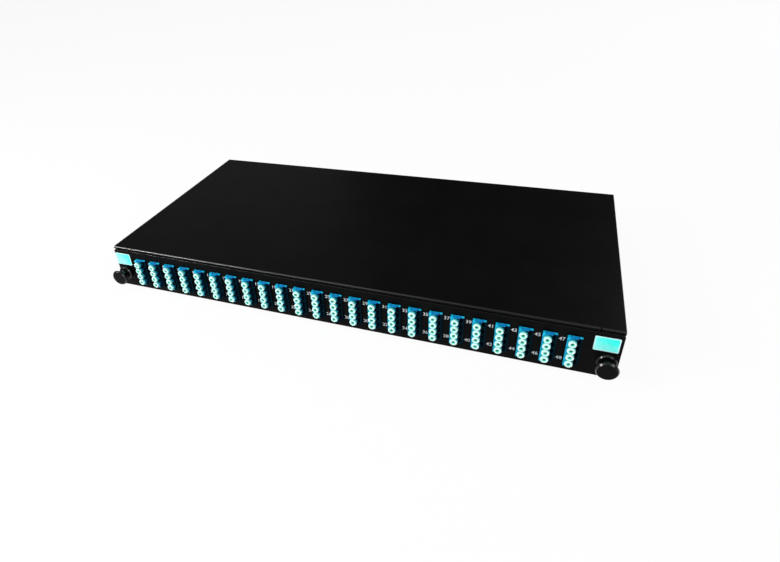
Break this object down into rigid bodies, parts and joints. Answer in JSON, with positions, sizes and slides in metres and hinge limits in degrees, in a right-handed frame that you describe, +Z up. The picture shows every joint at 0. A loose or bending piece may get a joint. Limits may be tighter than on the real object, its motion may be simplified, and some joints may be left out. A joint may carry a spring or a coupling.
{
  "type": "fibre patch panel",
  "caption": "Sliding rack patch panel: black folded steel case and drawer, a row of blue fibre adapters with white dust caps, push-pull latches and splice trays inside.",
  "frame": {"origin": "middle of the case's underside", "axes": "+X to the right as seen from the front, +Y to the rear, +Z up"},
  "size_m": [0.441, 0.2287, 0.0436],
  "materials": {
    "case_paint": "satin powder coat",
    "slide_steel": "zinc plated",
    "fastener_steel": "zinc plated",
    "grommet_rubber": "matte",
    "adapter_plastic": "satin moulded",
    "cap_plastic": "soft moulded",
    "label_film": "printed film",
    "latch_plastic": "glossy moulded",
    "splice_plastic": "moulded",
    "lid_plastic": "frosted moulded",
    "clip_plastic": "moulded"
  },
  "bodies": {
    "case": {"chassis": "case_paint", "rear_panel": "case_paint", "top_cover": "case_paint", "cover_screws": "fastener_steel", "cable_plate_left": "case_paint", "cable_plate_right": "case_paint", "cable_grommet_left": "grommet_rubber", "cable_grommet_right": "grommet_rubber", "outer_rail_left": "slide_steel", "outer_rail_right": "slide_steel"},
    "drawer": {"front_panel": "case_paint", "drawer_tray": "case_paint", "inner_rail_left": "slide_steel", "inner_rail_right": "slide_steel", "adapter_01": "adapter_plastic", "adapter_02": "adapter_plastic", "adapter_03": "adapter_plastic", "adapter_04": "adapter_plastic", "adapter_05": "adapter_plastic", "adapter_06": "adapter_plastic", "adapter_07": "adapter_plastic", "adapter_08": "adapter_plastic", "adapter_09": "adapter_plastic", "adapter_10": "adapter_plastic", "adapter_11": "adapter_plastic", "adapter_12": "adapter_plastic", "adapter_13": "adapter_plastic", "adapter_14": "adapter_plastic", "adapter_15": "adapter_plastic", "adapter_16": "adapter_plastic", "adapter_17": "adapter_plastic", "adapter_18": "adapter_plastic", "adapter_19": "adapter_plastic", "adapter_20": "adapter_plastic", "adapter_21": "adapter_plastic", "adapter_22": "adapter_plastic", "adapter_23": "adapter_plastic", "adapter_24": "adapter_plastic", "dust_caps_row_1": "cap_plastic", "dust_caps_row_2": "cap_plastic", "dust_caps_row_3": "cap_plastic", "dust_caps_row_4": "cap_plastic", "label_left": "label_film", "label_right": "label_film", "latch_collar_left": "latch_plastic", "latch_collar_right": "latch_plastic", "splice_tray_left": "splice_plastic", "splice_tray_right": "splice_plastic", "splice_lid_left": "lid_plastic", "splice_lid_right": "lid_plastic", "tray_studs": "fastener_steel", "stud_nuts": "clip_plastic", "routing_clips": "clip_plastic"},
    "latch_left": {"latch_plunger_left": "latch_plastic"},
    "latch_right": {"latch_plunger_right": "latch_plastic"}
  },
  "joints": [
    {"name": "drawer_slide", "type": "slide", "parent": "case", "child": "drawer", "axis": [0, -1, 0], "range_m": [0, 0.15]},
    {"name": "latch_left_pull", "type": "slide", "parent": "drawer", "child": "latch_left", "axis": [0, -1, 0], "range_m": [0, 0.005]},
    {"name": "latch_right_pull", "type": "slide", "parent": "drawer", "child": "latch_right", "axis": [0, -1, 0], "range_m": [0, 0.005]}
  ]
}
